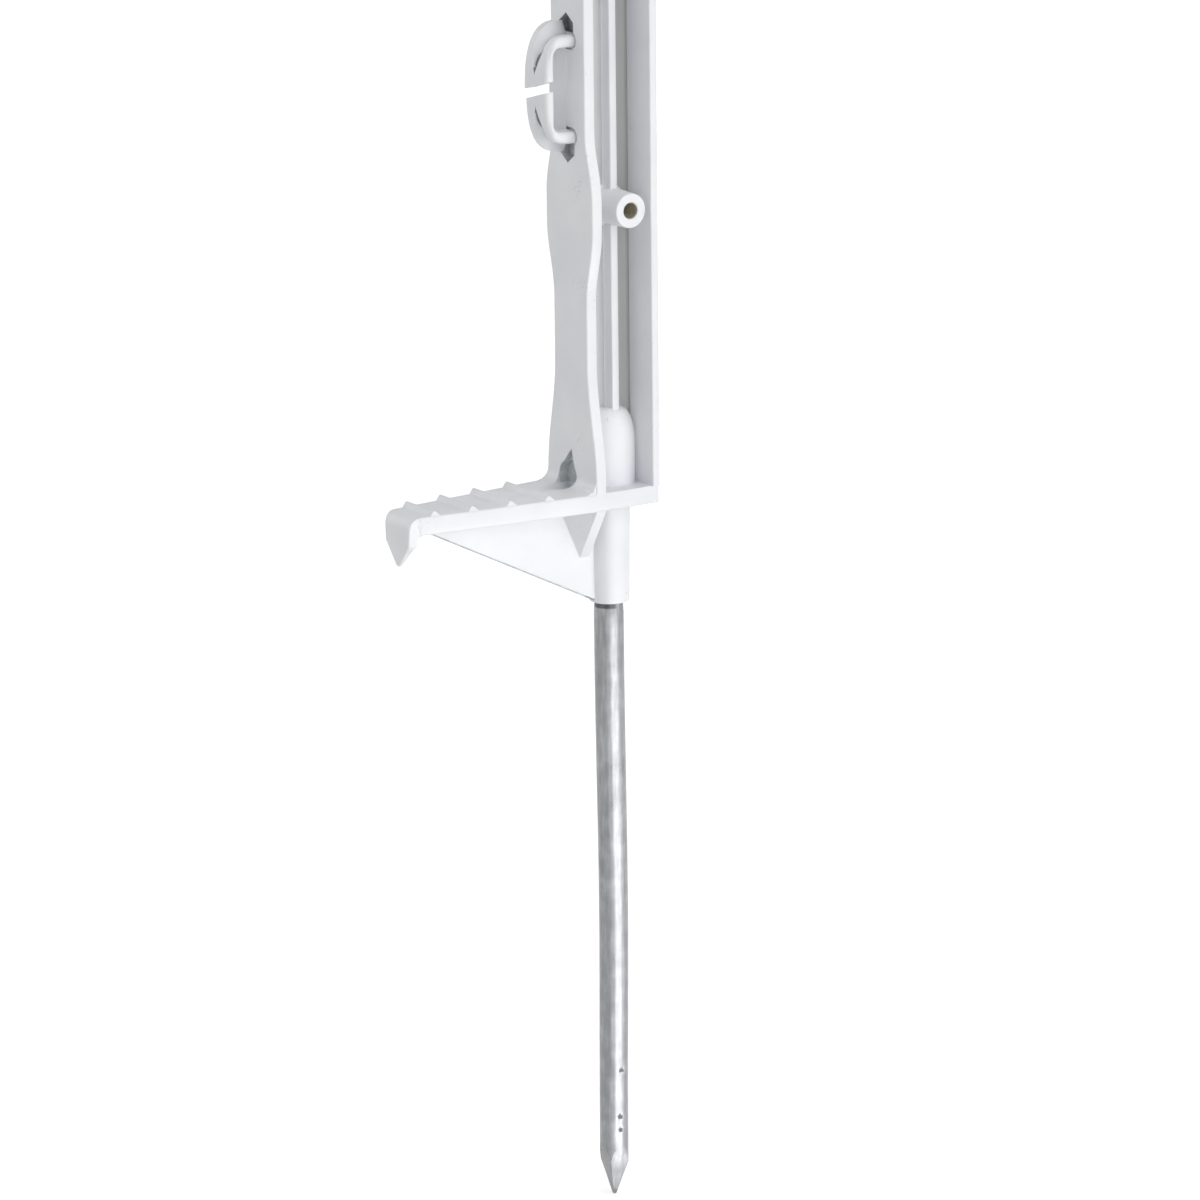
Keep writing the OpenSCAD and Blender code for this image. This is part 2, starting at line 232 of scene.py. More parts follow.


# Dust that has settled in the bores, and painted shade in the pockets, grooves, undersides and the
# spike's dents: dull and darker
def dustAndPaintedShade(name, dark, pale):
    look = dustAndShadeLook
    material, tree, shader = startMaterial(name)
    place = addNode(tree, "TexCoord").outputs["Object"]
    clots = addNode(tree, "TexNoise", inputs={
        "Vector": place, "Scale": patternScale(look["grit"]), "Detail": 4})
    stops = list(zip(look["tones"], (dark, pale)))
    colour = addNode(tree, "ValToRGB", {"stops": stops}, {"Fac": clots.outputs["Fac"]})
    tree.links.new(colour.outputs["Color"], shader.inputs["Base Color"])
    shader.inputs["Roughness"].default_value = look["roughness"]
    shader.inputs["IOR"].default_value = plasticLook["ior"]
    return material


channelLook = {
    "besideClips": "#bdbebf",
    "besideBack": "#adaead",
    "across": (-12.2, 10.4),      # mm from the clip side flange to the back flange
    "tones": (0.35, 0.7),         # share of the way across where each colour is full
    "cloud": 9,                   # mm across a cloud in the painted shade
    "cloudShift": 0.2,            # share of the way across that a cloud moves the colour
    "roughness": 0.5,
}


# Polypropylene of the web, with painted shade in the channels, darkest in the one at the back
# flange
def channelPaintedShade():
    look = channelLook
    material, tree, shader = startMaterial("channelPaintedShade")
    place = addNode(tree, "TexCoord").outputs["Object"]
    noise = addNode(tree, "TexNoise", inputs={
        "Vector": place, "Scale": patternScale(look["cloud"]), "Detail": 4})
    cloud = addNode(tree, "MapRange", inputs={
        "Value": noise.outputs["Fac"], "To Min": -look["cloudShift"], "To Max": look["cloudShift"]})
    parts = addNode(tree, "SeparateXYZ", inputs={"Vector": place})
    start, end = look["across"]
    share = addNode(tree, "MapRange", inputs={
        "Value": parts.outputs["X"], "From Min": start * mm, "From Max": end * mm})
    both = addNode(tree, "Math", {"operation": "ADD"}, {
        0: share.outputs["Result"], 1: cloud.outputs["Result"]})
    stops = list(zip(look["tones"], (look["besideClips"], look["besideBack"])))
    colour = addNode(tree, "ValToRGB", {"stops": stops}, {"Fac": both.outputs[0]})
    tree.links.new(colour.outputs["Color"], shader.inputs["Base Color"])
    shader.inputs["Roughness"].default_value = look["roughness"]
    shader.inputs["IOR"].default_value = plasticLook["ior"]
    return material


plastic = mouldedPolypropylene()
steel = galvanisedSteel()
dustAndShade = {name: dustAndPaintedShade(name, *tones) for name, tones in dustAndShadeLook["recesses"].items()}
webPaintedShade = channelPaintedShade()
print("materials made")


# From here on all measures are in mm, and one that goes into a mesh is multiplied by mm
def addObject(name, data):
    thing = bpy.data.objects.new(name, data)
    scene.collection.objects.link(thing)
    return thing


def meshFrom(name, bm):
    mesh = bpy.data.meshes.new(name)
    bm.to_mesh(mesh)
    bm.free()
    return mesh


def cleanMesh(bm, near=0.002):
    bmesh.ops.remove_doubles(bm, verts=bm.verts, dist=near * mm)
    bmesh.ops.dissolve_degenerate(bm, dist=1e-6, edges=bm.edges)
    bmesh.ops.delete(bm, geom=[e for e in bm.edges if not e.link_faces], context="EDGES")
    bmesh.ops.holes_fill(bm, edges=[e for e in bm.edges if e.is_boundary])
    bmesh.ops.recalc_face_normals(bm, faces=bm.faces)


def finishPiece(name, bm, nodes, materials=(plastic,), smoothAngle=32):
    cleanMesh(bm)
    mesh = meshFrom(name, bm)
    mesh.shade_smooth()
    mesh.set_sharp_from_angle(angle=math.radians(smoothAngle))
    for material in materials:
        mesh.materials.append(material)
    piece = addObject(name, mesh)
    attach(piece, "root")
    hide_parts(*nodes)
    return piece


def bevel(bm, edges, radius, segments=3):
    bmesh.ops.bevel(bm, geom=edges, offset=radius * mm, offset_type="OFFSET", affect="EDGES",
                    segments=segments, profile=0.5, material=-1, clamp_overlap=True)


# rounds the edges sharper than the angle, where their middles pass the test
def soften(bm, radius, angle=40, segments=3, keep=lambda c: True):
    edges = [e for e in bm.edges
             if len(e.link_faces) == 2 and e.calc_face_angle() > math.radians(angle)]
    edges = [e for e in edges if keep((e.verts[0].co + e.verts[1].co) / 2 / mm)]
    bevel(bm, edges, radius, segments)


# cuts along a plane; with clear, what is in front of it goes and the cut is closed
def cutAlong(bm, spot, way, clear=False, dist=0):
    cut = bmesh.ops.bisect_plane(bm, geom=bm.verts[:] + bm.edges[:] + bm.faces[:], dist=dist,
                                 plane_co=spot, plane_no=way, clear_outer=clear)
    rim = [e for e in cut["geom_cut"] if isinstance(e, bmesh.types.BMEdge)]
    if clear:
        bmesh.ops.holes_fill(bm, edges=rim)
    return rim


def movedVerts(grown):
    return [v for v in grown["geom"] if isinstance(v, bmesh.types.BMVert)]


def prism(outline, start, end, axis):
    spotOf = {
        "x": lambda a, b: (start, a, b),
        "y": lambda a, b: (a, start, b),
        "z": lambda a, b: (a, b, start),
    }[axis]
    bm = bmesh.new()
    face = bm.faces.new([bm.verts.new(Vector(spotOf(a, b)) * mm) for a, b in outline])
    grown = bmesh.ops.extrude_face_region(bm, geom=[face])
    shift = Vector([(end - start) * (axis == a) for a in "xyz"]) * mm
    bmesh.ops.translate(bm, verts=movedVerts(grown), vec=shift)
    bmesh.ops.recalc_face_normals(bm, faces=bm.faces)
    return bm


def arc(centre, radius, start, end, steps=6):
    angles = [math.radians(start + (end - start) * i / steps) for i in range(steps + 1)]
    return [(centre[0] + radius * math.cos(a), centre[1] + radius * math.sin(a)) for a in angles]


# turns a closed profile of (radius, height) round the axis
def lathe(profile, axis, steps=64):
    spotOf = {"z": lambda r, t: (r, 0, t), "y": lambda r, t: (r, t, 0)}[axis]
    turn = {"z": (0, 0, 1), "y": (0, 1, 0)}[axis]
    bm = bmesh.new()
    verts = [bm.verts.new(Vector(spotOf(r, t)) * mm) for r, t in profile]
    edges = [bm.edges.new(pair) for pair in zip(verts, verts[1:] + verts[:1])]
    bmesh.ops.spin(bm, geom=verts + edges, cent=(0, 0, 0), axis=turn, angle=math.tau,
                   steps=steps, use_merge=True)
    bmesh.ops.remove_doubles(bm, verts=bm.verts, dist=1e-6)
    bmesh.ops.dissolve_degenerate(bm, dist=1e-7, edges=bm.edges)
    bmesh.ops.recalc_face_normals(bm, faces=bm.faces)
    return bm


def rod(radius, start, end, steps=48):
    bm = bmesh.new()
    start, end = Vector(start) * mm, Vector(end) * mm
    along = end - start
    turn = along.to_track_quat("Z", "Y").to_matrix().to_4x4()
    bmesh.ops.create_cone(bm, cap_ends=True, segments=steps, radius1=radius * mm,
                          radius2=radius * mm, depth=along.length,
                          matrix=Matrix.Translation((start + end) / 2) @ turn)
    return bm


def slide(bm, x, y, z):
    bmesh.ops.translate(bm, verts=bm.verts, vec=Vector((x, y, z)) * mm)
    return bm


# puts shapes that don't touch into one mesh
def gather(*shapes):
    together = bmesh.new()
    for shape in shapes:
        mesh = meshFrom("gathered", shape)
        together.from_mesh(mesh)
        bpy.data.meshes.remove(mesh)
    return together


def combine(bm, other, operation="DIFFERENCE"):
    pair = [addObject("shape", meshFrom("shape", shape)) for shape in (bm, other)]
    change = pair[0].modifiers.new("change", "BOOLEAN")
    change.operation = operation
    change.solver = "EXACT"
    change.use_self = operation == "DIFFERENCE"
    change.object = pair[1]
    shown = pair[0].evaluated_get(bpy.context.evaluated_depsgraph_get())
    result = bmesh.new()
    result.from_mesh(shown.to_mesh())
    shown.to_mesh_clear()
    for thing in pair:
        mesh = thing.data
        bpy.data.objects.remove(thing)
        bpy.data.meshes.remove(mesh)
    bmesh.ops.dissolve_degenerate(result, dist=1e-7, edges=result.edges)
    return result


def cadCopy(node):
    bm = bmesh.new()
    bm.from_mesh(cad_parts[node].data)
    bmesh.ops.remove_doubles(bm, verts=bm.verts, dist=1e-6)
    bmesh.ops.dissolve_limit(bm, angle_limit=math.radians(1), verts=bm.verts, edges=bm.edges)
    return bm


# 0 to 1 with a soft start and end
def ease(t):
    return (1 - math.cos(math.pi * min(1, max(0, t)))) / 2


def middleHeights(name):
    return [(low(f"{name}_{k}").z + high(f"{name}_{k}").z) / 2 for k in range(1, bays + 1)]


post = {
    "clipFace": low("foot_flange").x,
    "clipInner": high("foot_flange").x,
    "backInner": low("back_flange").x,
    "foot": low("foot_flange").z,
    "top": high("back_flange").z,
    "bayStart": low("clip_flange_1").z,
    "halfWeb": -high("spine_front").y,
    "bossHeights": middleHeights("boss"),
    "clipHeights": middleHeights("clip_seat"),
}

# The clip side flange is one piece from the tread to the top
clipFlange = {
    "slim": 23.6,
    "besideBoss": high("clip_flange_1").y - low("clip_flange_1").y,
    "atTread": high("foot_flange").y - low("foot_flange").y,
    "swellBelow": (36, 7),    # from a boss down: where the swelling starts, and where it is full
    "swellAbove": (31, 5),
    "footWide": 4,            # above the tread
    "footSlim": 12,           # below the first bay
    "edge": 0.7,
    "station": 2.5,
}
# the hollow over the tread, where the mould's pin slides out
teardrop = {
    "radius": 6.4,
    "y": 2.8,
    "above": 3.4,             # the middle above the tread's top
    "slope": 12,              # degrees
    "reach": (-8, 26),        # along the pin, from the flange
    "depth": 4,
    "lean": 24,               # degrees that the roof's foot is turned
    "tip": (0.2, 15.2),       # y of the roof's point, and its height above the tread
    "roofDepth": 2,
    # the painted shade in the hollow: its top above the tread, and its half width
    "shadeTop": 17,
    "shadeHalf": 7,
}
# pointed pockets beyond each clip; near and far are from the clip's middle
pocket = {"half": 5, "y": 0.5, "near": 21.6, "far": 29.4, "shoulder": 3.6, "depth": 4}
# shallow sinks round the roots of the front plates
moat = {"y": -5, "middle": 18.8, "half": 2.5, "wide": 1.2, "depth": 1.2, "steps": 12}
cutProud = 1    # mm that a cutting shape stands out of the face that it cuts


def flangeHalfWidth(z):
    f = clipFlange
    if z < post["bayStart"]:
        slimZ, wideZ = post["bayStart"] - f["footSlim"], post["foot"] + f["footWide"]
        share = ease((slimZ - z) / (slimZ - wideZ))
        return (f["slim"] + (f["atTread"] - f["slim"]) * share) / 2
    boss = min(post["bossHeights"], key=lambda height: abs(height - z))
    (farLow, nearLow), (farHigh, nearHigh) = f["swellBelow"], f["swellAbove"]
    up = ease((z - boss + farLow) / (farLow - nearLow))
    down = ease((boss + farHigh - z) / (farHigh - nearHigh))
    return (f["slim"] + (f["besideBoss"] - f["slim"]) * min(up, down)) / 2


def pinRoom():
    t = teardrop
    slope = math.radians(t["slope"])
    middle = Vector((post["clipFace"], t["y"], post["foot"] + t["above"]))
    outward = Vector((-math.cos(slope), 0, math.sin(slope)))
    pin = rod(t["radius"], middle + outward * t["reach"][0], middle + outward * t["reach"][1])
    end = ((post["clipFace"] + t["depth"]) * mm, 0, 0)
    cutAlong(pin, end, (1, 0, 0), clear=True)
    return pin


def roofRoom():
    t = teardrop
    lean = math.radians(t["lean"])
    middleZ, out, up = post["foot"] + t["above"], math.cos(lean), math.sin(lean)
    outline = [
        (t["y"] - t["radius"] * out, middleZ + t["radius"] * up / 2),
        (t["y"] + t["radius"] * out, middleZ + t["radius"] * up),
        (t["tip"][0], post["foot"] + t["tip"][1]),
    ]
    return prism(outline, post["clipFace"] - cutProud, post["clipFace"] + t["roofDepth"], "x")


def pocketRoom(z, side):
    p = pocket
    left, right = p["y"] - p["half"], p["y"] + p["half"]
    base, eave = z + side * p["near"], z + side * (p["far"] - p["shoulder"])
    point = (p["y"], z + side * p["far"])
    outline = [(left, base), (right, base), (right, eave), point, (left, eave)]
    return prism(outline, post["clipFace"] - cutProud, post["clipFace"] + p["depth"], "x")


def moatRoom(z, side):
    m = moat
    radius, middle = m["half"] + m["wide"], z + side * m["middle"]
    outline = arc((m["y"] - m["wide"] + radius, middle), radius, 90, 270, m["steps"])
    outline += [(pocket["half"], middle - radius), (pocket["half"], middle + radius)]
    return prism(outline, post["clipFace"] - cutProud, post["clipFace"] + m["depth"], "x")


# which of the flange's materials a face of a hollow has: 1 grey painted shade, 2 paler painted
# shade, 0 none
def flangePaintedShade(spot):
    past = spot.x - post["clipFace"]
    if not 0.1 < past < post["clipInner"] - post["clipFace"] - 0.1:
        return 0
    if past > moat["depth"] + 0.1 and abs(spot.y - pocket["y"]) < pocket["half"] + 0.2:
        for z in post["clipHeights"]:
            if pocket["near"] - 0.5 < abs(spot.z - z) < pocket["far"] + 0.5:
                return 1 if spot.z > z else 2
    near = abs(spot.y - teardrop["y"]) < teardrop["shadeHalf"]
    return 2 if near and spot.z < post["foot"] + teardrop["shadeTop"] else 0


def makeClipFlange():
    f = clipFlange
    tall = post["top"] - post["foot"]
    bm = bmesh.new()
    bmesh.ops.create_grid(bm, x_segments=1, y_segments=round(tall / f["station"]), size=0.5)
    for v in bm.verts:
        z = post["foot"] + tall * (v.co.y + 0.5)
        v.co = Vector((post["clipFace"], math.copysign(flangeHalfWidth(z), v.co.x), z)) * mm
    grown = bmesh.ops.extrude_face_region(bm, geom=bm.faces[:])
    thick = (post["clipInner"] - post["clipFace"]) * mm
    bmesh.ops.translate(bm, verts=movedVerts(grown), vec=(thick, 0, 0))
    bmesh.ops.recalc_face_normals(bm, faces=bm.faces)
    soften(bm, f["edge"], keep=lambda c: c.z > post["foot"] + 0.5)
    for room in (pocketRoom, moatRoom):
        rooms = [room(z, side) for z in post["clipHeights"] for side in (-1, 1)]
        bm = combine(bm, gather(*rooms))
    bm = combine(bm, combine(pinRoom(), roofRoom(), "UNION"))
    nodes = ["foot_flange"] + [f"clip_flange_{k}" for k in range(1, bays + 1)]
    finishes = (plastic, dustAndShade["deepPaintedShade"], dustAndShade["palePaintedShade"])
    piece = finishPiece("clipSideFlange", bm, nodes, finishes)
    # painted shade in the pockets and the pin hollow
    for face in piece.data.polygons:
        face.material_index = flangePaintedShade(face.center / mm)


makeClipFlange()
print("clip side flange made")


crossSection = {
    "flangeEdge": 0.6,
    "webFillet": 1.6,
    "spineEdge": 0.6,
    "spineFoot": 0.8,         # small slope where a spine stands on the web
    "footBend": 0.3,          # share of that slope at its middle corner
    "spineSunk": 0.3,         # mm that a spine goes into the web
    "bossRoom": 6,            # radius cleared for each boss
    "bossReach": 20,
}


def makeBackFlange():
    corners = [low("back_flange"), high("back_flange")]
    outline = [(corners[i].x, corners[j].y) for i, j in ((0, 0), (1, 0), (1, 1), (0, 1))]
    bm = prism(outline, corners[0].z, corners[1].z, "z")
    soften(bm, crossSection["flangeEdge"], keep=lambda c: c.z > corners[0].z + 0.5)
    finishPiece("backFlange", bm, ["back_flange"])


def bossRooms():
    radius, reach = crossSection["bossRoom"], crossSection["bossReach"]
    return gather(*[rod(radius, (0, -reach, z), (0, reach, z)) for z in post["bossHeights"]])


def makeWeb():
    start, end, half = post["clipInner"], post["backInner"], post["halfWeb"]
    r = crossSection["webFillet"]
    front = arc((start + r, -half - r), r, 180, 90) + arc((end - r, -half - r), r, 90, 0)
    rear = [(x, -y) for x, y in reversed(front)]
    bm = prism(front + rear, post["foot"], post["top"], "z")
    finishPiece("mainWeb", combine(bm, bossRooms()), ["web"], (webPaintedShade,))


def makeSpine(name, node, side):
    half, foot = (high(node).x - low(node).x) / 2, crossSection["spineFoot"]
    sunk, bend = crossSection["spineSunk"], foot * crossSection["footBend"]
    crest, base = abs(low(node).y if side < 0 else high(node).y), post["halfWeb"] - sunk
    right = [(half + foot, base), (half + bend, base + sunk + bend), (half, base + sunk + foot),
             (half, crest)]
    outline = [(-half - foot, base)] + right
    outline += [(-half, crest), (-half, base + sunk + foot), (-half - bend, base + sunk + bend)]
    bm = prism([(x, side * y) for x, y in outline], post["foot"], post["top"], "z")
    soften(bm, crossSection["spineEdge"], keep=lambda c: abs(c.y) > crest - 0.5)
    finishPiece(name, combine(bm, bossRooms()), [node])


makeBackFlange()
makeWeb()
makeSpine("frontSpine", "spine_front", -1)
makeSpine("rearSpine", "spine_rear", 1)
print("web, spines and back flange made")


boss = {
    "bore": 3.2,              # radius, as the next two
    "atWeb": 7.2,
    "atEnd": 6.8,
    "rim": 0.5,
    "boreLip": 0.4,
    "foot": 1.2,              # slope where it meets the web
    "footBend": 0.3,          # share of that slope at its middle corner
}


def makeBosses():
    b = boss
    end, web, foot = high("boss_1").y, post["halfWeb"], b["foot"]
    bend = foot * b["footBend"]
    half = [(b["bore"], 0), (b["bore"], end - b["boreLip"]), (b["bore"] + b["boreLip"], end)]
    half += arc((b["atEnd"] - b["rim"], end - b["rim"]), b["rim"], 90, 0, 4)
    half += [(b["atWeb"], web + foot), (b["atWeb"] + bend, web + bend), (b["atWeb"] + foot, web)]
    profile = [(r, -t) for r, t in reversed(half[1:])] + half
    for k, z in enumerate(post["bossHeights"], 1):
        bm = slide(lathe(profile, "y"), 0, 0, z)
        piece = finishPiece(f"boss{k}", bm, [f"boss_{k}"], (plastic, dustAndShade["dustyBore"]))
        for face in piece.data.polygons:
            spot = face.center / mm
            face.material_index = math.hypot(spot.x, spot.z - z) < b["bore"] + 0.1


makeBosses()
print("bosses made")


# A clip is two horns, each a front and a rear plate of different outline round a core wall
clip = {
    "loopHalf": 16.3,
    "loopDeep": 8.8,
    "loopCorner": 3,
    "front": (-5, -0.8),      # y of the front plate
    "rear": (5, 9),           # y of the rear plate
    "frontReach": 13,
    "frontHalf": 21.3,
    "frontPower": 3.4,        # of the superellipse that each plate's outline follows
    "rearReach": {"upper": 14.2, "lower": 13.6},
    "rearHalf": 25.7,
    "rearPower": 2.6,
    "frontRound": 2.1,
    "rearRound": 0.7,
    "plateEdge": 0.3,
    "tipEdge": 0.4,
    "root": 1.1,              # how far a horn goes into the flange
    "past": 4,                # how far it is drawn past the middle, before the gap is cut
    "gap": 3.8,
    "gapSlant": 16,           # degrees
    "gapY": 2,
}
# the V-shaped groove between the plates of a horn, which closes towards its tip
groove = {
    "point": (2.5, 6.4),      # y and height where it closes
    "wide": 15,               # height where it fills the room between the plates
    "core": 1.3,              # thickness of the wall behind it
    "steep": 6,               # how soon it is full depth
    "frontLean": 0.15,        # shares of its width that its front and rear walls lean in
    "rearLean": 0.6,
    "paintedShade": (0.4, 0.95),     # shares of its width below which grey painted shade reaches its rear edge, and below which it has grey painted shade at all
    "unshadedRim": (0.1, 1.7),      # rim of the rear wall without painted shade, at the point and at the root
}


def hornStations():
    c = clip
    corner = (c["loopDeep"] - c["loopCorner"], c["loopHalf"] - c["loopCorner"])
    arm, upright = 6, 12    # stations along each
    stations = [((-c["root"] + (corner[0] + c["root"]) * i / arm, c["loopHalf"]), (0, 1))
                for i in range(arm)]
    for angle in range(90, -1, -10):
        way = (math.cos(math.radians(angle)), math.sin(math.radians(angle)))
        stations.append((arc(corner, c["loopCorner"], angle, angle, 1)[0], way))
    stations += [((c["loopDeep"], corner[1] * (1 - i / upright)), (1, 0))
                 for i in range(1, upright + 1)]
    return stations + [((c["loopDeep"], -c["past"]), (1, 0))]


# from a point of the loop to a plate's outline, found by halving
def distanceOut(start, way, reach, half, power):
    near, far = 0, 60
    for i in range(30):
        middle = (near + far) / 2
        x, z = max(0, start[0] + way[0] * middle), max(0, start[1] + way[1] * middle)
        if (x / reach) ** power + (z / half) ** power > 1:
            far = middle
        else:
            near = middle
    return near


# three runs of (distance out, y) round a horn: front plate, groove and rear plate
def hornSection(start, way, end):
    c, g = clip, groove
    front = distanceOut(start, way, c["frontReach"], c["frontHalf"], c["frontPower"])
    rear = distanceOut(start, way, c["rearReach"][end], c["rearHalf"], c["rearPower"])
    pointY, pointZ = g["point"]
    frontY, rearY = c["front"][1], c["rear"][0]
    height = start[1] + way[1] * front
    opened = min(1, max(0, (height - pointZ) / (g["wide"] - pointZ)))
    nearY, farY = pointY + (frontY - pointY) * opened, pointY + (rearY - pointY) * opened

    def slope(y):
        return front + (rear - front) * (y - frontY) / (rearY - frontY)

    deep = min(1, g["steep"] * opened)
    floor = slope(pointY) + (g["core"] - slope(pointY)) * deep
    lean = g["frontLean"] * (farY - nearY)
    floorEnd = farY - lean - g["rearLean"] * opened * (farY - nearY)
    rise = ease((height - pointZ) / (c["frontHalf"] - pointZ))
    unshadedRim = g["unshadedRim"][0] + (g["unshadedRim"][1] - g["unshadedRim"][0]) * rise
    share = max(0, (front - unshadedRim - floor) / max(1e-6, slope(farY) - floor))
    shadeLine = (floor + (slope(farY) - floor) * share, floorEnd + (farY - floorEnd) * share)
    r, q, edge = c["frontRound"], c["rearRound"], c["plateEdge"]
    frontRun = arc((r, c["front"][0] + r), r, 180, 270, 5)
    frontRun += arc((front - r, c["front"][0] + r), r, 270, 360, 5) + [(front, frontY - edge)]
    grooveRun = [(slope(nearY), nearY), (floor, nearY + lean), (floor, floorEnd), shadeLine,
                 (slope(farY), farY)]
    rearRun = [(rear, rearY + edge)] + arc((rear - q, c["rear"][1] - q), q, 0, 90, 3)
    rearRun += arc((q, c["rear"][1] - q), q, 90, 180, 3)
    return frontRun, grooveRun, rearRun, opened


def makeHorn(end):
    c = clip
    bm = bmesh.new()
    # the groove's faces get painted shade: grey where all their corners are in thick, paler where
    # all are in the second set
    rings, thick, paleShadeVerts = [], set(), set()
    for start, way in hornStations():
        frontRun, grooveRun, rearRun, opened = hornSection(start, way, end)
        spots = [(start[0] + way[0] * out, y, start[1] + way[1] * out)
                 for out, y in frontRun + grooveRun + rearRun]
        verts = [bm.verts.new(Vector(spot) * mm) for spot in spots]
        inGroove = verts[len(frontRun):len(frontRun) + len(grooveRun)]
        if opened < groove["paintedShade"][0]:
            thick.update(inGroove)
        elif opened < groove["paintedShade"][1]:
            thick.update(inGroove[:-1])
        paleShadeVerts.update(inGroove[:-1])
        rings.append([bm.edges.new(pair) for pair in zip(verts, verts[1:] + verts[:1])])
    for pair in zip(rings, rings[1:]):
        for face in bmesh.ops.bridge_loops(bm, edges=pair[0] + pair[1])["faces"]:
            if thick.issuperset(face.verts):
                face.material_index = 1
            elif paleShadeVerts.issuperset(face.verts):
                face.material_index = 2
    bmesh.ops.holes_fill(bm, edges=rings[0] + rings[-1])
    bmesh.ops.remove_doubles(bm, verts=bm.verts, dist=1e-6)
    bmesh.ops.dissolve_degenerate(bm, dist=1e-7, edges=bm.edges)
    up = 1 if end == "upper" else -1
    for v in bm.verts:
        v.co = Vector((-v.co.x, v.co.y, up * v.co.z))
    slant = math.radians(c["gapSlant"])
    across = Vector((0, math.sin(slant), math.cos(slant)))
    lip = (Vector((0, c["gapY"], 0)) + across * up * c["gap"] / 2) * mm
    rim = cutAlong(bm, lip, -up * across, clear=True)
    bmesh.ops.recalc_face_normals(bm, faces=bm.faces)
    bevel(bm, rim, c["tipEdge"])
    return bm


def makeClips():
    horns = {end: makeHorn(end) for end in ("upper", "lower")}
    finishes = (plastic, dustAndShade["deepPaintedShade"], dustAndShade["palePaintedShade"])
    for k, z in enumerate(post["clipHeights"], 1):
        for end, horn in horns.items():
            bm = slide(horn.copy(), post["clipFace"], 0, z)
            finishPiece(f"{end}Horn{k}", bm, [f"clip_{end}_{k}"], finishes)
        finishPiece(f"tapeSeat{k}", cadCopy(f"clip_seat_{k}"), [f"clip_seat_{k}"])


makeClips()
print("tape clips made")


tread = {
    "thick": high("tread").z - low("tread").z,
    "bend": 5,
    "innerBend": 2,
    "hookThick": 4.6,
    "hookTip": 1.8,
    "hookHalf": 8.7,
    "shoulder": 11.4,         # below the top, where the hook starts to narrow
    "edge": 0.8,
    "endHalf": 9.3,
    "point": 0.8,
}


def treadHalfWidth(x, z):
    t = tread
    top, outer, inner = high("tread").z, low("hook").x, post["clipFace"]
    root = high("tread").y
    if x > inner:
        return root
    if x > outer + t["bend"]:
        return root + (t["endHalf"] - root) * (inner - x) / (inner - outer)
    drop = top - z
    rootHalf = t["endHalf"] + (root - t["endHalf"]) * t["bend"] / (inner - outer)
    if drop < t["bend"]:
        return rootHalf + (t["hookHalf"] - rootHalf) * ease(drop / t["bend"])
    fall = max(0, (drop - t["shoulder"]) / (top - low("hook").z - t["shoulder"]))
    return t["hookHalf"] + (t["point"] - t["hookHalf"]) * fall


def makeTread():
    t = tread
    top, outer, tip, root = high("tread").z, low("hook").x, low("hook").z, high("tread").x
    under, shoulderZ = top - t["thick"], top - t["shoulder"]
    lowZ, bendX = under - t["innerBend"], outer + t["hookThick"] + t["innerBend"]
    outline = [(root, top), (post["clipFace"], top), (outer + t["bend"], top)]
    outline += arc((outer + t["bend"], top - t["bend"]), t["bend"], 90, 180)[1:]
    outline += [(outer, shoulderZ), (outer, tip), (outer + t["hookTip"], tip)]
    share = (shoulderZ - tip) / (lowZ - tip)
    outline += [(outer + t["hookTip"] + (t["hookThick"] - t["hookTip"]) * share, shoulderZ)]
    outline += arc((bendX, lowZ), t["innerBend"], 180, 90)
    outline += [(post["clipFace"], under), (root, under)]
    bm = prism(outline, -1, 1, "y")
    besideFlange = post["clipFace"] - 0.3
    for x in (besideFlange, bendX, outer + t["bend"]):
        cutAlong(bm, Vector((x, 0, 0)) * mm, (1, 0, 0))
    for z in (lowZ, shoulderZ):
        cutAlong(bm, Vector((0, 0, z)) * mm, (0, 0, 1))
    for v in bm.verts:
        v.co.y = math.copysign(treadHalfWidth(v.co.x / mm, v.co.z / mm), v.co.y) * mm
    cleanMesh(bm)
    soften(bm, t["edge"], angle=35, keep=lambda c: c.x < besideFlange or c.z < under + 0.1)
    cleanMesh(bm, near=0.08)
    finishPiece("treadWithHook", combine(bm, pinRoom()), ["tread", "hook"])


socket = {
    "shoulderHigh": 13.5,
    "shoulderWide": 6.2,
    "shoulderSteps": 12,
    "underTread": [(8.6, -1.2), (9.6, 0.2)],    # radius, and height from the tread's underside
    "shoulderFoot": 0.4,                        # height from there where the shoulder starts
    "collar": 8,                                # radius, as the mouth and the bore
    "lip": 0.5,
    "mouth": 6.5,
    "mouthDeep": 2,
    "bore": 5.6,
    "boreDeep": 62,
}

stiffeners = {
    "gripEdge": 0.35,
    "gussetEdge": 1.1,
    "gussetSunk": 1.5,        # how far it goes into the collar
    "deepShadeFrom": -12.5,        # its rounded underside has paler painted shade, and grey painted shade from here to the collar
    "finEdge": 0.6,
}


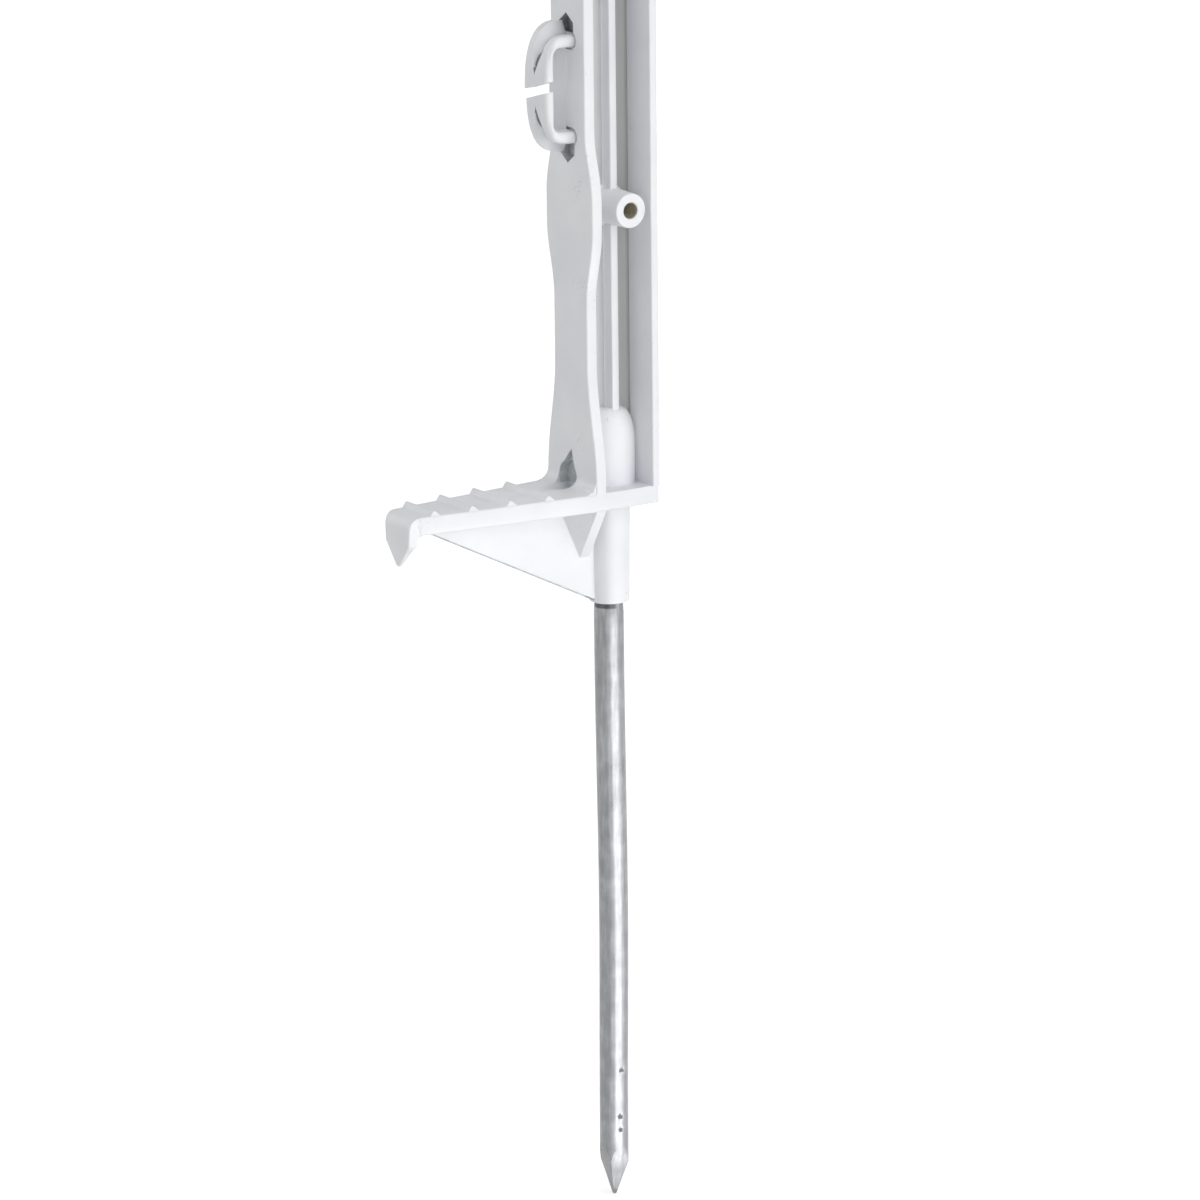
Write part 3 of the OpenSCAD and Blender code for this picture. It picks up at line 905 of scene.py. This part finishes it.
def makeStiffeners():
    s = stiffeners
    bm = cadCopy("tread_grips")
    foot = low("tread_grips").z + 0.2
    soften(bm, s["gripEdge"], angle=20, segments=2, keep=lambda c: c.z > foot)
    finishPiece("gripRibs", bm, ["tread_grips"])
    finishPiece("treadFillet", cadCopy("tread_fillet"), ["tread_fillet"])
    start, end, root = low("gusset"), high("gusset"), -socket["collar"]
    inside = root + s["gussetSunk"]
    outline = [(inside, start.z), (root, start.z), (start.x, end.z), (inside, end.z)]
    bm = prism(outline, start.y, end.y, "y")
    cutAlong(bm, (s["deepShadeFrom"] * mm, 0, 0), (1, 0, 0))
    soften(bm, s["gussetEdge"],
           keep=lambda c: c.z < end.z - 0.2 and c.x < root and abs(c.y) > end.y - 0.5)
    finishes = (plastic, dustAndShade["palePaintedShade"], dustAndShade["deepPaintedShade"])
    gusset = finishPiece("treadGusset", bm, ["gusset"], finishes)
    # painted shade on the faces that look down
    for face in gusset.data.polygons:
        if face.normal.z < -0.1:
            face.material_index = 2 if face.center.x > s["deepShadeFrom"] * mm else 1
    bm = cadCopy("gusset_fins")
    under = high("gusset_fins").z - 0.2
    soften(bm, s["finEdge"], keep=lambda c: c.z < under)
    finishPiece("gussetFins", bm, ["gusset_fins"])


makeTread()
makeStiffeners()
print("tread, hook, gusset and fins made")


def makeSocket():
    s = socket
    top, radius, under = high("socket").z, high("socket").y, high("tread").z - tread["thick"]
    profile = [(0, s["boreDeep"]), (s["bore"], s["boreDeep"]), (s["bore"], s["mouthDeep"]),
               (s["mouth"], s["mouthDeep"]), (s["mouth"], s["lip"]), (s["mouth"] + s["lip"], 0)]
    profile += arc((s["collar"] - s["lip"], s["lip"]), s["lip"], 270, 360, 4)
    profile += [(r, under + z) for r, z in s["underTread"] + [(radius, s["shoulderFoot"])]]
    wide, tall, steps = s["shoulderWide"], s["shoulderHigh"], s["shoulderSteps"]
    for i in range(steps + 1):
        a = math.radians(90 * i / steps)
        profile.append((radius - wide + wide * math.cos(a), top - tall + tall * math.sin(a)))
    profile.append((0, top))
    finishPiece("socketAndCollar", lathe(profile, "z", 96), ["socket"])


spike = {
    "radius": 6,
    "lowRadius": 5.78,
    "stub": 5.6,
    "stubEdge": 0.3,
    "stubShort": 0.5,         # how far the stub ends before the bore does
    "flats": [(177, 27), (267, 25), (357, 22), (87, 22)],    # angle round the rod, and length
    "blunt": 0.55,
    "bow": 0.76,              # mm between the middle and the ends
    "bowReach": 65,
    "bowSide": (0.837, -0.547),
    "bowShare": 0.45,         # share of the bow by which the ends go the other way
    "bowAtCollar": 0.8,       # share of that inside the socket
    "dents": [                # height, angle round the rod, length, slant, depth
        (-195.6, -91.6, 2.6, 35, 0.35),
        (-215.4, -99, 2.4, 80, 0.45),
        (-221, -97, 2.2, 60, 0.5),
    ],
    "dentWide": 0.7,
    "pitShadeRound": 1.15,        # radius of the painted shade in a dent
    "fineRows": 0.8,          # height of a row of faces where the dents are
    "fineEnd": 60,
    "rows": 5,                # and above them
}


def spikeBlank():
    s = spike
    length = -low("spike").z
    fine = [-length + i * s["fineRows"] for i in range(round(s["fineEnd"] / s["fineRows"]) + 1)]
    above = -length + s["fineEnd"]
    coarse = [above + i * s["rows"] for i in range(1, int(-above / s["rows"]) + 1)]
    profile = [(0, -length)]
    for z in fine + coarse:
        if z < 0:
            widened = (s["radius"] - s["lowRadius"]) * (z + length) / length
            profile.append((s["lowRadius"] + widened, z))
    stubEnd = socket["boreDeep"] - s["stubShort"]
    profile += [(s["radius"] - s["stubEdge"], 0), (s["stub"], s["stubEdge"]), (s["stub"], stubEnd),
                (0, stubEnd)]
    return lathe(profile, "z", 96)


def grindPoint(bm):
    s = spike
    for angle, rise in s["flats"]:
        turn, tilt = math.radians(angle), math.atan(s["radius"] / rise)
        x, y = math.cos(turn), math.sin(turn)
        way = Vector((x * math.cos(tilt), y * math.cos(tilt), -math.sin(tilt)))
        cutAlong(bm, (s["blunt"] * mm * x, s["blunt"] * mm * y, low("spike").z * mm), way,
                 clear=True, dist=1e-6)


def dentDepth(z, around):
    s = spike
    depth = 0
    for height, angle, long, slant, deepest in s["dents"]:
        apart = (around - math.radians(angle) + math.pi) % math.tau - math.pi
        side, up = apart * s["radius"], z - height
        lean = math.radians(slant)
        along = side * math.cos(lean) + up * math.sin(lean)
        across = up * math.cos(lean) - side * math.sin(lean)
        depth += deepest * math.exp(-(2 * along / long) ** 2 - (across / s["dentWide"]) ** 2)
    return depth


def wearRod(bm):
    s = spike
    middle = low("spike").z / 2
    for v in bm.verts:
        z = v.co.z / mm
        if z < -1 and math.hypot(v.co.x, v.co.y) > s["radius"] / 2 * mm:
            shrink = 1 - dentDepth(z, math.atan2(v.co.y, v.co.x)) / s["radius"]
            v.co.x *= shrink
            v.co.y *= shrink
        bow = -s["bowShare"] * s["bow"] * s["bowAtCollar"]
        if z < 0:
            bow = s["bow"] * (math.exp(-((z - middle) / s["bowReach"]) ** 2) - s["bowShare"])
        v.co.x += bow * s["bowSide"][0] * mm
        v.co.y += bow * s["bowSide"][1] * mm


def makeSpike():
    s = spike
    bm = spikeBlank()
    grindPoint(bm)
    wearRod(bm)
    finishes = (steel, dustAndShade["pitPaintedShade"])
    piece = finishPiece("spikeRod", bm, ["spike"], finishes, 40)
    pits = []
    for height, angle, *rest in s["dents"]:
        turn = math.radians(angle)
        pits.append(Vector((s["radius"] * math.cos(turn), s["radius"] * math.sin(turn), height)))
    # painted shade in the dents
    for face in piece.data.polygons:
        nearest = min((face.center / mm - pit).length for pit in pits)
        face.material_index = nearest < s["pitShadeRound"]


makeSocket()
makeSpike()
print("socket and spike made")


cameraView = {
    "azimuth": 33.165,        # from -Y towards -X
    "pitch": 14.641,
    "roll": -0.605,
    "lens": 176.2,
    "sensor": 36,
    "distance": 2329,
    "target": (-4.454, 0, 0.472),
}


def placeCamera():
    v = cameraView
    a, e, r = (math.radians(v[k]) for k in ("azimuth", "pitch", "roll"))
    back = Vector((-math.sin(a) * math.cos(e), -math.cos(a) * math.cos(e), math.sin(e)))
    right = Vector((math.cos(a), -math.sin(a), 0))
    up = back.cross(right)
    x, y = right * math.cos(r) + up * math.sin(r), up * math.cos(r) - right * math.sin(r)
    lens = bpy.data.cameras.new("camera")
    lens.lens = v["lens"]
    lens.sensor_width = v["sensor"]
    camera = addObject("camera", lens)
    spot = (Vector(v["target"]) + back * v["distance"]) * mm
    rows = [(x[i], y[i], back[i], spot[i]) for i in range(3)]
    camera.matrix_world = Matrix(rows + [(0, 0, 0, 1)])
    scene.camera = camera


studio = {
    # strength, width in degrees, azimuth from -Y towards +X, elevation
    "lamps": {
        "keySoftbox": (2.33, 75, 11, 13),
        "overheadSoftbox": (0.62, 25, 0, 86),
        "leftSoftbox": (0.48, 50, -90, 15),
        "rearSoftbox": (0.66, 50, -150, 20),
    },
    "ambient": 0.13,
    # the key softbox as the metal reflects it, from the floor in front:
    # azimuth from and to, distance from and to in mm, strength
    "panels": {
        "left": (-55, -22, 24, 1100, 1.8),
        "middle": (-22, 32, 24, 1100, 4.3),
        "right": (32, 58, 24, 1100, 2.1),
        "side": (58, 110, 24, 1100, 1.5),
        "near": (-55, 110, 3, 24, 2.1),
    },
    "floor": "#f2f2f2",
    "floorHalf": 6000,
    "floorDrop": 0.5,         # below the spike's point
    "floorGlow": 0.55,        # added to its own light where it is seen, so that it looks white
}


def placeLamps():
    for name, (strength, across, azimuth, elevation) in studio["lamps"].items():
        lamp = bpy.data.lights.new(name, "SUN")
        lamp.energy = strength
        lamp.angle = math.radians(across)
        a, e = math.radians(azimuth), math.radians(elevation)
        toLamp = Vector((math.sin(a) * math.cos(e), -math.cos(a) * math.cos(e), math.sin(e)))
        addObject(name, lamp).rotation_euler = toLamp.to_track_quat("Z", "Y").to_euler()


# 1 where the camera, metal or glass sees the background, 0 where it lights the object
def seenDirectly(tree):
    path = addNode(tree, "LightPath")
    first = addNode(tree, "Math", {"operation": "MAXIMUM"}, {
        0: path.outputs["Is Camera Ray"], 1: path.outputs["Is Glossy Ray"]})
    return addNode(tree, "Math", {"operation": "MAXIMUM"}, {
        0: first.outputs[0], 1: path.outputs["Is Transmission Ray"]}).outputs[0]


def makeWorld():
    world = bpy.data.worlds.new("studio")
    scene.world = world
    world.use_nodes = True
    tree = world.node_tree
    tree.nodes.clear()
    soft, white = (addNode(tree, "Background", inputs={"Color": (1, 1, 1, 1), "Strength": light})
                   for light in (studio["ambient"], 1))
    blend = addNode(tree, "MixShader", inputs={
        0: seenDirectly(tree), 1: soft.outputs[0], 2: white.outputs[0]})
    addNode(tree, "OutputWorld", inputs={"Surface": blend.outputs[0]})


def makeFloor():
    bm = bmesh.new()
    bmesh.ops.create_grid(bm, x_segments=1, y_segments=1, size=studio["floorHalf"] * mm)
    drop = studio["floorDrop"] * mm
    bmesh.ops.translate(bm, verts=bm.verts, vec=(0, 0, cadBox[0][2] - drop))
    floor = addObject("studioFloor", meshFrom("studioFloor", bm))
    material, tree, shader = startMaterial("studioFloor")
    shader.inputs["Base Color"].default_value = toLinear(studio["floor"])
    shader.inputs["Roughness"].default_value = 0.9
    glow = addNode(tree, "Math", {"operation": "MULTIPLY"}, {
        0: seenDirectly(tree), 1: studio["floorGlow"]})
    tree.links.new(glow.outputs[0], shader.inputs["Emission Strength"])
    shader.inputs["Emission Color"].default_value = (1, 1, 1, 1)
    floor.data.materials.append(material)
    floor.visible_shadow = False    # the key softbox shines up through it, as on a light table


# only the gloss of the object sees the panels
def makePanels():
    for name, (start, end, near, far, strength) in studio["panels"].items():
        bm = bmesh.new()
        verts = [bm.verts.new((0, -reach * mm, cadBox[0][2])) for reach in (far, near)]
        bmesh.ops.rotate(bm, verts=verts, cent=(0, 0, 0),
                         matrix=Matrix.Rotation(math.radians(start), 3, "Z"))
        bmesh.ops.spin(bm, geom=verts + [bm.edges.new(verts)], cent=(0, 0, 0), axis=(0, 0, 1),
                       angle=math.radians(end - start), steps=8)
        bmesh.ops.recalc_face_normals(bm, faces=bm.faces)
        panel = addObject(f"{name}Panel", meshFrom(f"{name}Panel", bm))
        material, tree, shader = startMaterial(f"{name}Panel", "Emission")
        shader.inputs["Strength"].default_value = strength
        panel.data.materials.append(material)
        panel.visible_camera = False
        panel.visible_diffuse = False
        panel.visible_shadow = False


placeCamera()
placeLamps()
makeWorld()
makeFloor()
makePanels()
scene.view_settings.view_transform = "Standard"
print("camera, light and floor placed")
